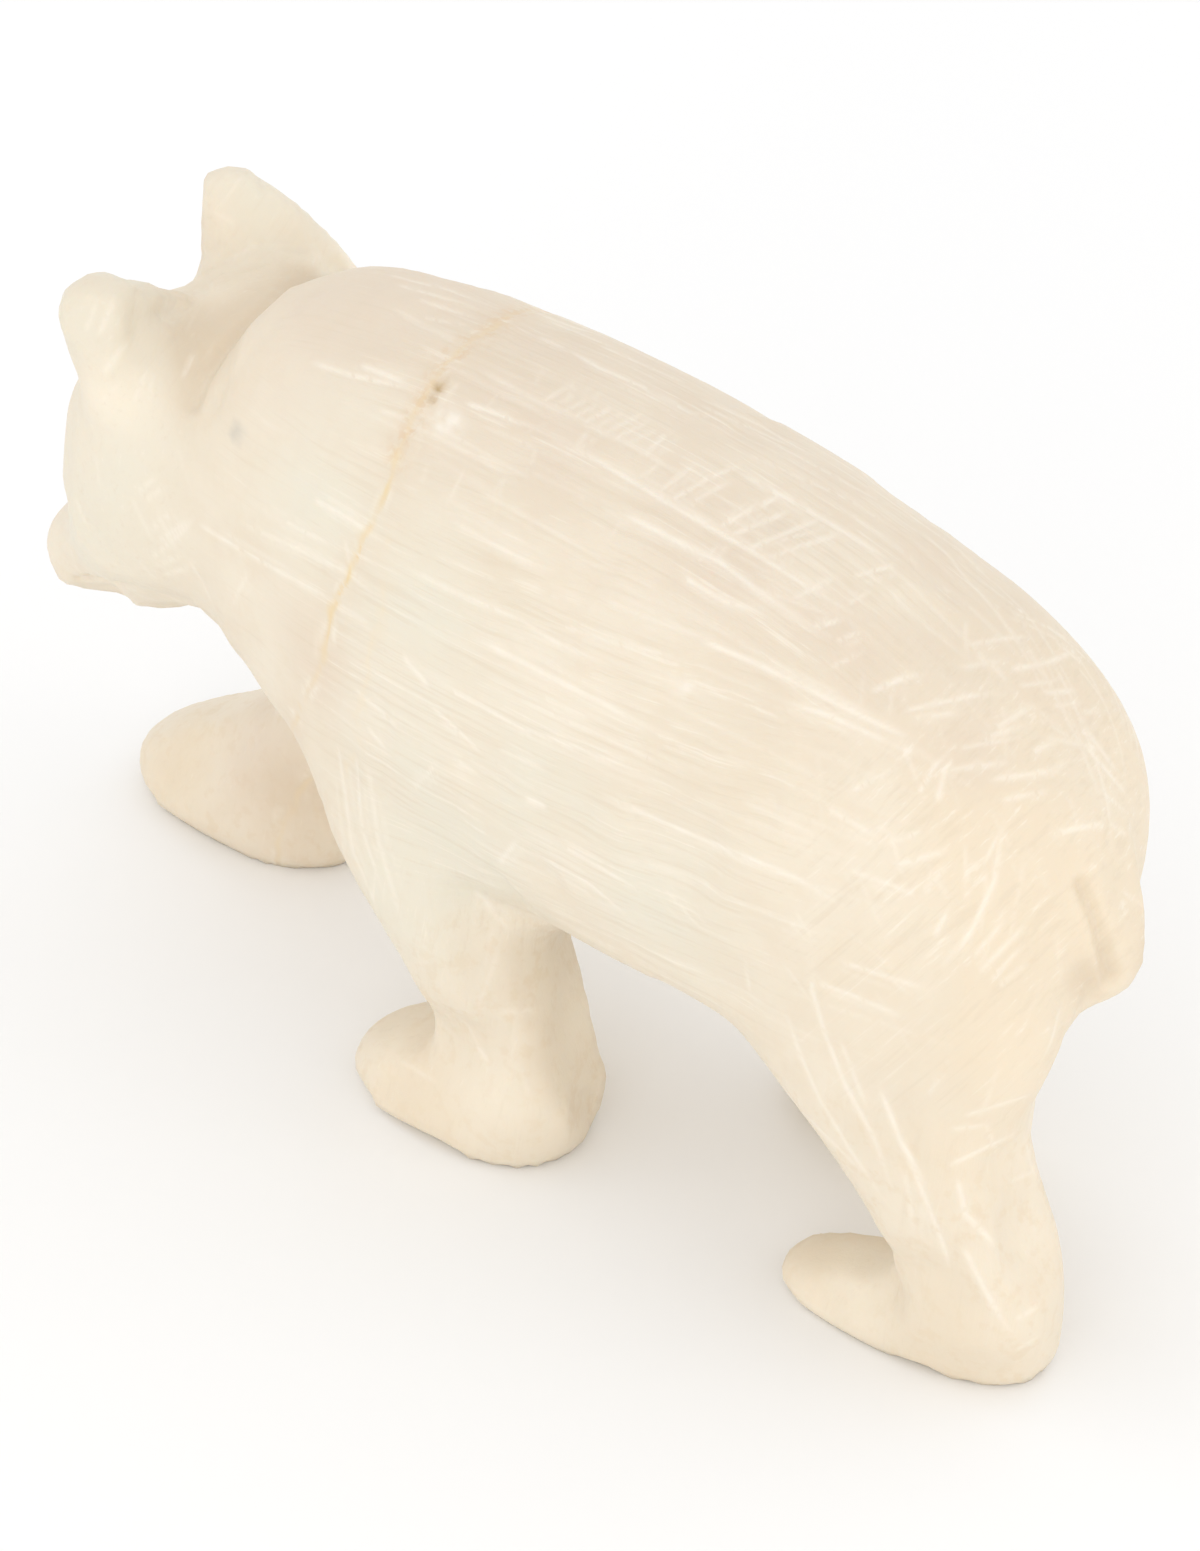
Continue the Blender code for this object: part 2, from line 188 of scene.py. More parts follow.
FLANK_STROKES = (
    (0.7, ((405, 567), (450, 590), (520, 620), (560, 645), (620, 668))),
    (0.9, ((470, 635), (540, 672), (600, 702), (645, 726), (690, 744))),
    (0.9, ((430, 680), (470, 700), (520, 728), (575, 747), (640, 773), (700, 801))),
    (0.6, ((520, 700), (560, 718), (620, 745), (690, 778))),
    (0.6, ((545, 698), (592, 720))),
    (0.6, ((500, 750), (552, 771))),
    (0.9, ((525, 798), (548, 808))),
    (0.9, ((600, 795), (640, 812), (680, 830), (740, 855), (800, 880), (852, 912))),
    (0.9, ((520, 825), (560, 845), (600, 868), (642, 892))),
    (0.8, ((530, 850), (590, 885), (632, 920))),
    (0.5, ((662, 886), (700, 928), (760, 955))),
    (0.9, ((700, 640), (760, 665), (820, 695), (880, 725), (920, 742))),
    (0.8, ((780, 700), (830, 716), (930, 761))),
    (0.6, ((560, 625), (620, 645), (690, 660))),
    (0.5, ((450, 520), (520, 560), (560, 575))),
    (0.5, ((640, 860), (700, 882), (740, 900))),
    (0.6, ((830, 810), (882, 840))),
    (0.6, ((850, 870), (920, 896))),
    (0.5, ((730, 900), (830, 938))),
    (0.7, ((842, 962), (880, 975), (930, 990))),
    (0.7, ((820, 984), (850, 995), (905, 1018))),
    (0.5, ((740, 800), (800, 828), (840, 850))),
    (0.5, ((760, 590), (840, 618))),
    (0.5, ((600, 600), (680, 630), (740, 650))),
    (0.7, ((355, 690), (400, 728))),
    (0.6, ((368, 728), (386, 750))),
    (0.8, ((403, 657), (430, 688))),
    (0.9, ((428, 704), (455, 728), (482, 754))),
    (0.8, ((455, 760), (482, 778))),
    (0.7, ((412, 790), (440, 760))),
    (0.9, ((500, 862), (520, 838))),
    (0.6, ((475, 890), (500, 920))),
    (0.6, ((482, 903), (512, 932))),
    (0.6, ((356, 755), (362, 830), (386, 902))),
    (0.5, ((344, 780), (352, 850), (376, 905))),
    (0.5, ((368, 765), (378, 840), (402, 922))),
    (0.6, ((338, 745), (345, 800), (356, 868))),
    (0.8, ((200, 525), (240, 550), (330, 600))),
    (0.8, ((240, 523), (300, 550), (345, 572), (382, 600))),
    (0.6, ((262, 510), (332, 546))),
    (0.9, ((315, 500), (350, 520), (392, 546))),
    (0.5, ((250, 570), (238, 592), (230, 612))),
    (0.5, ((330, 600), (372, 625))),
    (0.5, ((345, 540), (352, 575))),
)
HATCHING = (
    (0.6, ((655, 495), (700, 460))),
    (0.7, ((672, 500), (712, 476), (742, 465))),
    (0.6, ((692, 502), (732, 480))),
    (0.8, ((718, 527), (760, 505), (792, 491))),
    (0.7, ((732, 535), (792, 510))),
    (0.7, ((745, 550), (800, 527), (836, 512))),
    (0.6, ((762, 560), (860, 524))),
    (0.8, ((812, 628), (848, 617))),
    (0.7, ((838, 641), (862, 631))),
    (0.8, ((855, 576), (902, 563))),
    (0.6, ((850, 603), (872, 590))),
    (0.6, ((790, 600), (842, 574))),
    (0.6, ((700, 561), (722, 544))),
    (0.6, ((640, 460), (668, 432), (682, 424))),
    (0.5, ((832, 667), (868, 650))),
    (0.6, ((780, 540), (828, 528))),
    (0.6, ((800, 548), (850, 530))),
    (0.5, ((640, 478), (662, 462))),
)
RUMP_STROKES = (
    (1.0, ((872, 692), (898, 680), (928, 672))),
    (0.9, ((905, 711), (970, 696), (1012, 693))),
    (0.7, ((910, 720), (960, 712))),
    (0.7, ((960, 646), (1010, 638), (1032, 636))),
    (0.9, ((1010, 670), (1050, 662), (1078, 649))),
    (0.7, ((1020, 686), (1066, 680))),
    (0.8, ((1045, 693), (1082, 690))),
    (0.6, ((1055, 706), (1085, 702))),
    (0.6, ((1083, 712), (1104, 712))),
    (0.8, ((998, 727), (1036, 704))),
    (0.8, ((985, 738), (1028, 725))),
    (0.7, ((962, 748), (1034, 735))),
    (0.7, ((1034, 752), (1062, 738))),
    (0.9, ((988, 780), (1050, 772), (1082, 754))),
    (0.7, ((950, 770), (1012, 762))),
    (0.7, ((1000, 801), (1052, 790))),
    (1.0, ((1054, 834), (1080, 828), (1106, 823))),
    (0.9, ((920, 792), (935, 766), (951, 750))),
    (0.9, ((938, 800), (944, 775), (952, 755))),
    (0.7, ((850, 792), (902, 764))),
    (0.8, ((888, 843), (925, 830))),
    (0.8, ((894, 866), (952, 850))),
    (0.6, ((925, 892), (948, 864))),
    (0.9, ((934, 937), (952, 903))),
    (1.0, ((953, 960), (975, 925), (995, 880), (1000, 845), (1006, 812))),
    (0.7, ((984, 865), (1002, 828))),
    (0.6, ((962, 942), (990, 905))),
    (0.7, ((974, 957), (1010, 914))),
    (0.7, ((980, 972), (1026, 925))),
    (0.7, ((990, 981), (1028, 940))),
    (0.5, ((1000, 985), (1030, 962))),
    (0.8, ((1084, 744), (1132, 800))),
    (0.7, ((1085, 728), (1120, 775))),
    (0.7, ((1100, 790), (1131, 816))),
    (0.6, ((1110, 824), (1131, 837))),
    (0.6, ((958, 668), (1010, 660))),
    (0.5, ((975, 655), (1008, 676))),
)
LEG_STROKES = (
    (0.8, ((810, 950), (812, 990), (825, 1035), (845, 1085), (875, 1140), (896, 1200))),
    (0.7, ((785, 1010), (800, 1055), (820, 1100), (850, 1150), (892, 1212))),
    (0.6, ((775, 1075), (800, 1110), (870, 1180))),
    (1.0, ((880, 1088), (900, 1140), (920, 1175), (926, 1202))),
    (0.8, ((905, 1150), (928, 1205), (945, 1250), (950, 1272))),
    (0.5, ((745, 955), (750, 1004))),
    (0.6, ((840, 1040), (868, 1110))),
    (0.6, ((905, 1170), (915, 1240))),
    (0.7, ((965, 1116), (1034, 1094))),
    (0.6, ((950, 1130), (992, 1124))),
    (0.9, ((949, 1166), (1000, 1141), (1022, 1130))),
    (0.5, ((1010, 1182), (1036, 1170))),
    (0.9, ((958, 1180), (966, 1215), (1002, 1252))),
    (0.9, ((965, 1250), (985, 1290), (1017, 1344))),
    (0.7, ((1018, 1318), (1042, 1305))),
    (0.7, ((1015, 1351), (1042, 1334))),
    (0.5, ((520, 1070), (530, 1100))),
    (0.8, ((478, 1048), (491, 1066))),
    (0.5, ((500, 1012), (546, 1010))),
    (0.4, ((400, 1060), (440, 1085))),
)
HEAD_STROKES = (
    (0.7, ((152, 558), (182, 532), (197, 514))),
    (0.7, ((158, 542), (190, 519))),
    (0.6, ((150, 530), (176, 509))),
    (0.6, ((155, 566), (188, 553))),
    (0.6, ((165, 575), (192, 566))),
    (0.6, ((138, 492), (160, 474))),
    (0.5, ((146, 500), (168, 484))),
    (0.6, ((98, 338), (115, 294))),
    (0.8, ((104, 372), (132, 334))),
    (0.5, ((86, 330), (98, 300))),
    (0.6, ((134, 402), (150, 362))),
    (0.6, ((182, 378), (197, 346))),
    (0.5, ((104, 400), (122, 380))),
    (0.4, ((215, 212), (250, 232))),
    (0.4, ((225, 262), (262, 240))),
)

# The row of short strokes on the back, in pixels: how many, the first one's start, the step to the next,
# a stroke's run, how much further up it may end, and the range of weights.
ROW_COUNT, ROW_START, ROW_STEP, ROW_RUN, ROW_RAGGED = 9, (541, 402), (10, 5.5), (44, -19), 6
ROW_WEIGHTS = (0.4, 0.75)

# Other strokes, drawn along the stone from scattered starts:
# (how many, sides, (lowest, highest) of forward, up, degrees from the bear's length, length, weight).
# Forward and up are the solid's own tables; degrees turn the stroke's tail down.
SCATTERED = (
    (80, (1,), (-38, 9), (24, 57), (-4, 3), (7, 24), (0.12, 0.36)),
    (18, (1,), (-30, 8), (58, 66), (64, 112), (1.5, 4.0), (0.2, 0.5)),
    (46, (1,), (-36, 14), (57, 66), (-4, 4), (5, 16), (0.15, 0.5)),
    (26, (1,), (-52, -36), (34, 56), (20, 62), (2, 6), (0.15, 0.5)),
    (16, (1,), (-52, -30), (8, 26), (66, 100), (4, 11), (0.15, 0.45)),
    (14, (1,), (-8, 12), (8, 30), (66, 96), (4, 10), (0.15, 0.4)),
    (40, (1, -1), (24, 44), (26, 56), (40, 74), (2, 6), (0.12, 0.4)),
    (84, (-1,), (-44, 22), (24, 60), (-6, 5), (7, 22), (0.2, 0.8)),
    (34, (-1,), (-52, -34), (30, 56), (18, 64), (2, 7), (0.3, 0.8)),
    (30, (-1,), (-52, -22), (6, 30), (66, 100), (4, 12), (0.2, 0.7)),
    (28, (-1,), (6, 40), (8, 32), (56, 96), (4, 10), (0.2, 0.7)),
    (20, (1, -1), (-60, -50), (14, 50), (60, 110), (3, 8), (0.2, 0.7)),
    (16, (1, -1), (20, 52), (10, 40), (56, 110), (2, 6), (0.2, 0.6)),
)
STROKE_WIDTH = 0.21
STROKE_DEPTH = 0.085
WIDTH_SPREAD = (0.8, 1.25)  # times the width
WEIGHT_WIDTHS = (0.75, 0.35)  # and times the first, plus the second times a stroke's weight
STROKE_REACH = 2.4  # times its width, beyond which a stroke leaves nothing
SHORTEST = 4  # places along a stroke
# The traced strokes of the flank, of the back and of other places: how many fainter ones stand beside
# each, and what its own weight is multiplied by.
COMPANIONS = (2, 1, 0)
STRENGTHS = (1.15, 1.3, 1.0)
COMPANION_WEIGHTS = (0.3, 0.6)  # times the weight of the traced one
COMPANION_STARTS, COMPANION_ENDS = (0, 0.35), (0.6, 1)  # shares of the traced one's length
COMPANION_GAPS = (4, 10)  # pixels to one side
COMPANION_CORNERS = 6
# How a stroke presses: the shares of its length in which it bites and lifts, and how it wavers between.
BITES, LIFTS = (0.05, 0.2), (0.15, 0.45)
WAVER, WAVER_LENGTH = 0.3, 1.5

# Tints of the stone and patches of painted shade and painted light, about the same on both sides: the (pixel,
# radius) of each one's patches.
PATCHES = {
    "cool": (
        ((95, 325), 6.0), ((78, 540), 7.0), ((120, 480), 6.0), ((425, 815), 8.0), ((405, 905), 6.0),
        ((545, 800), 5.0), ((470, 860), 6.0), ((250, 200), 2.5), ((660, 905), 7.0), ((330, 480), 7.0),
        ((420, 620), 8.0),
    ),
    "warm": (
        ((1000, 880), 14.0), ((1122, 900), 7.0), ((450, 1110), 7.0), ((930, 1320), 9.0), ((820, 1280), 5.0),
        ((175, 770), 5.0), ((980, 1090), 9.0), ((400, 1060), 4.0),
    ),
    # The blush patches along the back and nape are partly the stone's pink and partly painted shade on the
    # top of the back, which faces away from the light.
    "blush_and_shade": (
        ((330, 325), 8.0), ((390, 300), 7.0), ((325, 660), 5.0), ((270, 765), 7.0), ((465, 345), 7.0),
        ((640, 370), 8.0), ((800, 460), 8.0), ((960, 580), 7.0), ((1060, 700), 5.0),
    ),
    # The tan patches in the creases behind the ears, in the tail's groove and by the chest are partly tan
    # stone and partly painted shade in those hollows.
    "tan": (
        ((238, 285), 3.2), ((268, 290), 2.6), ((218, 330), 2.8), ((196, 368), 2.2), ((300, 272), 2.0),
        ((1090, 985), 2.2), ((300, 800), 4.0), ((184, 405), 1.8),
    ),
    # The light patches on the toe tops, the rear facet of the left front leg, the crown, the cheek and the
    # heel are painted light that lifts places lying in shadow.
    "light": (
        ((850, 1285), 4.5), ((835, 1262), 4.0), ((395, 1040), 3.0), ((578, 1005), 4.5), ((220, 290), 2.6),
        ((120, 400), 3.5), ((500, 1120), 4.0),
    ),
}
STAIN_OFFSET = 11.0  # where in the noise the first tint starts
# Spots that are round from the photograph's side: (pixel, radius, strength).
SPOT_REACH = 5  # times its radius, beyond which a place is on another side of the stone
# The pits' dark tint is painted shade in their hollows, on top of the depth cut into them.
PIT_SPOTS = (((432, 398), 0.3, 1.0), ((439, 387), 0.36, 1.0))
PALE_SPOTS = (((448, 422), 1.0, 0.9), ((683, 690), 0.8, 0.5))
AMBER_SPOTS = (((403, 462), 0.8, 1.0), ((386, 489), 0.8, 1.0), ((352, 575), 0.8, 1.0))
INCLUSION_SPOTS = (((237, 434), 0.5, 1.2),)

# The crack that crosses the shoulders: how far back it lies at each height.
VEIN_HEIGHTS = (0.0, 6.0, 20.0, 37.5, 42.6, 49.4, 53.0, 57.5, 70.0)
VEIN_PLACES = (-33.0, -31.6, -24.3, -13.2, -12.0, -9.6, -8.5, -8.6, -9.6)
VEIN_LEAN, VEIN_LEANS_FROM = 0.2, 8.0  # right of this place it runs forward by this share
VEIN_SLANT = 0.9  # how much nearer it is than it looks along the bear, because it runs aslant
BRANCH_HEIGHTS = (30.0, 39.0, 45.0, 54.0)
BRANCH_PLACES = (-10.4, -7.3, -6.0, -6.2)
NO_BRANCH = 99.0  # a distance at which nothing of the branch shows
VEIN_STRONG = (39, 44), (54, 57)  # the heights between which it grows strong, and weak again
VEIN_BREADTH, VEIN_SPREAD = 0.14, 0.22
VEIN_DEPTH, PIT_DEPTH, RUST_DEPTH = 0.07, 0.2, 0.08
RUST_HEIGHTS, RUST_REACH = (55.5, 58.5), 0.9
HALO_REACH, BRANCH_REACH, AMBER_REACH = 2.2, 0.3, 0.3
EDGE_PLACE, EDGE_REACH = 0.5, 0.22  # the pale rims beside it

# The finest unevenness of the stone, and the soles' edges: how high they are and how far they go down.
GRAIN_SIZE, GRAIN_HEIGHT = 0.9, 0.02
SOLE_HEIGHT, SOLE_DROP = 0.35, 0.25

# Screen colours of the stone, and the tints laid over it: (mark, share, colour). Those of the stone lie
# under its fine scratches and those of its marks lie over them. The share of "rust" is the shader's noise.
STONE, LIGHTER_STONE = (227, 215, 195), (231, 220, 201)
CLOUD_TINT, SPECK_TINT = (223, 207, 184), (220, 201, 172)
DARK_SCRATCH, LIGHT_SCRATCH = (214, 198, 174), (240, 231, 216)
# Blush and tan are partly painted shade, and light is painted light.
STONE_AND_PAINTED_LIGHT_TINTS = (
    # Blush: the stone's pink and painted shade on the top of the back.
    ("blush_and_shade", 0.55, (220, 203, 184)),
    ("warm", 0.7, (229, 213, 188)),
    ("cool", 0.75, (226, 220, 203)),
    # Tan: tan stone and painted shade in the creases and hollows.
    ("tan", 0.6, (208, 188, 161)),
    # Light: painted light on places that lie in shadow.
    ("light", 0.7, (241, 231, 212)),
    ("halo", 0.45, (221, 203, 180)),
)
MARK_TINTS = (
    ("edge", 0.5, (240, 231, 215)),
    ("bruise", 0.8, (243, 235, 221)),
    ("pale_patch", 0.9, (241, 234, 222)),
    ("branch", 0.6, (232, 216, 188)),
    ("rust", None, (221, 198, 169)),
    ("vein", 0.9, (229, 207, 166)),
    ("amber", 0.6, (229, 205, 154)),
    # Pit: painted shade in the pit's hollow.
    ("pit", 1.0, (188, 160, 116)),
    ("inclusion", 0.8, (196, 190, 178)),
)
# Fine scratches of each part: degrees of turn, and marks per metre along each turned axis.
SIDE_HAIRS = (2, 0, 0), (420, 65, 2300)
TOP_HAIRS = (0, 0, 3), (2300, 65, 420)
RUMP_HAIRS = (52, 0, 12), (450, 60, 1800)
HEAD_HAIRS = (0, 33, 0), (110, 1700, 1700)
LIMB_HAIRS = (-8, 0, 0), (1500, 1500, 60)

# The studio, in metres. Lamps: (name, right, up, back, power), with the camera's directions.
FLOOR_SIZE, FLOOR_COLOUR, FLOOR_ROUGHNESS, FLOOR_SHINE = 6, (0.93, 0.93, 0.93, 1), 0.9, 0.1
SKY_COLOUR, SKY_STRENGTH = (1.0, 1.0, 1.0, 1), 1.04
LAMP_DISTANCE, LAMP_SIZE = 1.0, 0.6
LAMP_MIDDLE = Vector((0, 0, 0.03))
LAMPS = (
    ("key", -0.3, -0.5, 1, 1.85),
    ("side", -1, 0.7, 0.2, 0.35),
    ("fill", 1.5, -0.33, 0.6, 1.8),
)
CLIP_START, CLIP_END = 0.01, 20.0


# Looking through the photograph


def photo_axes():
    """Right, up and back, as the photograph's camera has them."""
    turn, rise = math.radians(CAMERA_AZIMUTH), math.radians(CAMERA_ELEVATION)
    back = Vector((math.sin(turn) * math.cos(rise), -math.cos(turn) * math.cos(rise), math.sin(rise)))
    right = (-back).cross(Vector((0, 0, 1))).normalized()
    return right, right.cross(-back), back


RIGHT, UP, BACK = photo_axes()
EYE = Vector(CAMERA_TARGET) + BACK * CAMERA_DISTANCE + RIGHT * CAMERA_SIDESTEP + UP * CAMERA_RISE


def under_pixel(tree, x, y):
    """The place on the stone under a pixel and the way it faces there, or None."""
    focal = LENS / SENSOR * PHOTO_HEIGHT
    ray = RIGHT * (x - PHOTO_WIDTH / 2) + UP * (PHOTO_HEIGHT / 2 - y) - BACK * focal
    place, facing, _, _ = tree.ray_cast(EYE, ray.normalized())
    return (place, facing) if place else None


def place_under(tree, pixel):
    """The place under a pixel that lies on the stone."""
    return np.array(under_pixel(tree, *pixel)[0])


def path_under(tree, pixels):
    """Places on the stone along a line of pixels, STEP apart. It ends where the stone falls away."""
    path = []
    for (x0, y0), (x1, y1) in zip(pixels, pixels[1:]):
        steps = max(1, round(math.hypot(x1 - x0, y1 - y0) * PIXELS_TO_MM / STEP))
        for i in range(steps):
            found = under_pixel(tree, x0 + (x1 - x0) * i / steps, y0 + (y1 - y0) * i / steps)
            if not found or (path and (found[0] - path[-1]).length > LONGEST_GAP):
                return path
            path.append(found[0])
    return path


def path_along(tree, start, heading, length):
    """A stroke drawn over the stone from a place. It ends where the stone turns away from a straight file."""
    place, facing, _, _ = tree.find_nearest(start)
    first = facing.copy()
    path = [place]
    for _ in range(round(length / STEP)):
        heading = (heading - facing * heading.dot(facing)).normalized()
        place, facing, _, _ = tree.find_nearest(place + heading * STEP)
        if facing.dot(first) < STRAIGHT:
            break
        path.append(place)
    return path


# The mesh


def noise_at(places, scale, offset=0.0):
    """Smooth noise of about -1 to 1 at each place, with bumps about scale across."""
    return np.array([noise.noise(Vector(p) / scale + Vector((offset, offset, offset))) for p in places])


def smooth_step(values, low, high):
    """0 up to low and 1 from high on, with a soft rise between."""
    t = np.clip((values - low) / (high - low), 0, 1)
    return t * t * (3 - 2 * t)


def patchy(places, scale, offset, low, high):
    """Noise as soft patches from 0 to 1."""
    return smooth_step(noise_at(places, scale, offset), low, high)


def mesh_arrays(mesh):
    """Places in millimetres and triangles of a mesh."""
    mesh.calc_loop_triangles()
    places = np.empty(len(mesh.vertices) * 3)
    corners = np.empty(len(mesh.loop_triangles) * 3, np.int32)
    mesh.vertices.foreach_get("co", places)
    mesh.loop_triangles.foreach_get("vertices", corners)
    return places.reshape(-1, 3) / MM, corners.reshape(-1, 3)


def surface_tree(places, triangles):
    return BVHTree.FromPolygons(places.tolist(), triangles.tolist())


def facings(places, triangles):
    """The way that the surface faces at each vertex."""
    corners = places[triangles]
    across = np.cross(corners[:, 1] - corners[:, 0], corners[:, 2] - corners[:, 0])
    normals = np.zeros_like(places)
    for k in range(3):
        for axis in range(3):
            normals[:, axis] += np.bincount(triangles[:, k], across[:, axis], len(places))
    return normals / np.maximum(np.linalg.norm(normals, axis=1, keepdims=True), 1e-12)


def relaxed(values, triangles, rounds):
    """Each value moved halfway to the mean of its neighbours, round after round."""
    pairs = np.concatenate([triangles[:, [0, 1]], triangles[:, [1, 2]], triangles[:, [2, 0]]])
    pairs = np.concatenate([pairs, pairs[:, ::-1]])
    count = np.bincount(pairs[:, 0], minlength=len(values))[:, None]
    for _ in range(rounds):
        sums = [np.bincount(pairs[:, 0], values[pairs[:, 1], k], len(values)) for k in range(3)]
        values = (values + np.stack(sums, 1) / count) / 2
    return values


def even_skin(solid):
    """The solid's surface as small even triangles, its facets smoothed out and its size kept."""
    copy = bpy.data.objects.new("even_skin", solid.data.copy())
    bpy.context.scene.collection.objects.link(copy)
    skin = copy.modifiers.new("skin", "REMESH")
    skin.mode = "VOXEL"
    skin.voxel_size = BASE_VOXEL * MM
    mesh = bpy.data.meshes.new_from_object(copy.evaluated_get(bpy.context.evaluated_depsgraph_get()))
    places, triangles = mesh_arrays(mesh)
    bpy.data.objects.remove(copy)
    bpy.data.meshes.remove(mesh)
    tree = surface_tree(*mesh_arrays(solid.data))
    places = relaxed(places, triangles, SMOOTHING_ROUNDS)
    missing = np.array([tree.find_nearest(p)[0] for p in places.tolist()]) - places
    return places + relaxed(missing, triangles, SIZE_ROUNDS), triangles


def along(reach, normals):
    """The part of each reach that lies along its normal."""
    return (reach * normals).sum(1)[:, None] * normals


def halved(places, triangles, close):
    """The triangles with every edge halved that has a close end. New vertices keep the surface round."""
    normals = facings(places, triangles)
    edges = np.concatenate([triangles[:, [0, 1]], triangles[:, [1, 2]], triangles[:, [2, 0]]])
    edges, which = np.unique(np.sort(edges, axis=1), axis=0, return_inverse=True)
    cut = close[edges].any(axis=1)
    a, b = edges[cut].T
    reach = places[b] - places[a]
    # The middle of the cubic curve between two ends that each lie flat on the surface is an eighth higher.
    lift = (along(reach, normals[b]) - along(reach, normals[a])) / 8
    middle = np.full(len(edges), -1)
    middle[cut] = len(places) + np.arange(cut.sum())
    places = np.concatenate([places, (places[a] + places[b]) / 2 + lift])
    return places, split_triangles(triangles, middle[which.reshape(3, -1).T])


def split_triangles(triangles, mids):
    """Each triangle as the smaller ones between its corners and the middles of its halved edges."""
    split = (mids >= 0).sum(axis=1)
    result = [triangles[split == 0]]
    for k in range(3):
        order = [(k + i) % 3 for i in range(3)]
        corners, mid = triangles[:, order], mids[:, order]
        one = (split == 1) & (mid[:, 0] >= 0)
        v, m = corners[one], mid[one]
        result.append(np.stack([v[:, 0], m[:, 0], v[:, 2]], 1))
        result.append(np.stack([m[:, 0], v[:, 1], v[:, 2]], 1))
        two = (split == 2) & (mid[:, 2] < 0)
        v, m = corners[two], mid[two]
        result.append(np.stack([m[:, 0], v[:, 1], m[:, 1]], 1))
        result.append(np.stack([v[:, 0], m[:, 0], m[:, 1]], 1))
        result.append(np.stack([v[:, 0], m[:, 1], v[:, 2]], 1))
    v, m = triangles[split == 3], mids[split == 3]
    for parts in ((v[:, 0], m[:, 0], m[:, 2]), (m[:, 0], v[:, 1], m[:, 1]), (m[:, 2], m[:, 1], v[:, 2])):
        result.append(np.stack(parts, 1))
    result.append(m)
    return np.concatenate(result)


def distance_to(places, path):
    """How far each place is from the nearest point of a path."""
    tree = KDTree(len(path))
    for i, point in enumerate(path):
        tree.insert(point, i)
    tree.balance()
    return np.array([tree.find(p)[2] for p in places.tolist()])


# Carving


def around(places, middle, core, reach):
    """1 within the core of a place, fading to nothing at its reach."""
    return 1 - smooth_step(np.linalg.norm(places - middle, axis=1), core * reach, reach)


def pressed(places, normals, distance, width, depth):
    """The stone cut down where the distance is small, with a round-bottomed section."""
    share = np.exp(-((distance / (CREASE_SLOPE * width)) ** 2))
    return places - normals * (share * depth)[:, None]


def flattened(places, middle, facing, depth, reach, most):
    """The stone filed to a plane that lies depth below a place, within reach of it and never past most."""
    facing = facing / np.linalg.norm(facing)
    above = (places - middle) @ facing + depth
    cut = np.logaddexp(0, above / PLANE_EDGE) * PLANE_EDGE
    near = around(places, middle, PLANE_CORE, reach)
    return places - facing * (np.minimum(cut, most) * near)[:, None]


def filled(places, triangles, middle, reach, times, rounds):
    """The hollows round a place made up with stone, as far as the smoothed surface lies outside them."""
    near = around(places, middle, SOFT_CORE, reach)
    for _ in range(times):
        normals = facings(places, triangles)
        lift = ((relaxed(places, triangles, rounds) - places) * normals).sum(1)
        places = places + normals * (np.clip(lift, 0, None) * near)[:, None]
    return places


def rubbed(places, triangles, middle, reach):
    """The stone rubbed smooth round a place."""
    near = around(places, middle, SOFT_CORE, reach)
    return places + (relaxed(places, triangles, RUB_ROUNDS) - places) * near[:, None]


def along_row(row):
    """A direction in the solid's tables (forward, left, up) as a direction of the mesh."""
    return np.array((row[1], -row[0], row[2]))


def from_row(row):
    """A place in the solid's tables as a place of the mesh."""
    return along_row(row) - (0, ROW_TO_MESH, 0)


def from_head(forward, left, up):
    """A place in the head's own frame as a place of the mesh."""
    return from_row(Vector(HEAD_START) + HEAD_TURN @ Vector((forward, left, up)))


def padded(places, start, end, radius):
    """The stone pushed out to a round bar that lies inside it."""
    start, end = from_row(start), from_row(end)
    share = np.clip((places - start) @ (end - start) / ((end - start) @ (end - start)), 0, 1)
    away = places - (start + share[:, None] * (end - start))
    distance = np.linalg.norm(away, axis=1)
    push = np.logaddexp(0, (radius - distance) / PAD_EDGE) * PAD_EDGE
    return places + away * (push / distance)[:, None]


def widened_muzzle(places):
    """The root of the muzzle made broader, so that it runs into the cheeks."""
    turn = np.array(HEAD_TURN)
    rows = np.stack([-places[:, 1] - ROW_TO_MESH, places[:, 0], places[:, 2]], 1)
    forward, left, up = ((rows - HEAD_START) @ turn).T
    share = smooth_step(forward, *MUZZLE_RISE) * (1 - smooth_step(forward, *MUZZLE_FALL))
    share *= smooth_step(up, *MUZZLE_BOTTOM)
    left = MUZZLE_MIDDLE + (left - MUZZLE_MIDDLE) * (1 + MUZZLE_WIDENING * share)
    rows = np.stack([forward, left, up], 1) @ turn.T + HEAD_START
    return np.stack([rows[:, 1], -rows[:, 0] - ROW_TO_MESH, rows[:, 2]], 1)


def dished_ears(places, triangles):
    """The dished fronts of the ears."""
    normals = facings(places, triangles)
    front = smooth_step(-normals[:, 1], 0.2, 0.7)
    for root, tip in EARS:
        middle = Vector(root).lerp(Vector(tip), DISH_PLACE) - Vector(HEAD_START)
        middle = from_row(Vector(HEAD_START) + YAW_TURN @ middle)
        distance = np.linalg.norm((places - middle) * DISH_SHAPE, axis=1)
        share = front * np.exp(-((distance / DISH_RADIUS) ** 2))
        places = places - normals * (DISH_DEPTH * share)[:, None]
    return places


def built_up(places, triangles):
    """Stone added where the photograph shows more of it than the solid has."""
    tree = surface_tree(places, triangles)
    for pad in PADS:
        places = padded(places, *pad)
    for pixel, reach, times, rounds in FILLS:
        places = filled(places, triangles, place_under(tree, pixel), reach, times, rounds)
    return widened_muzzle(places)


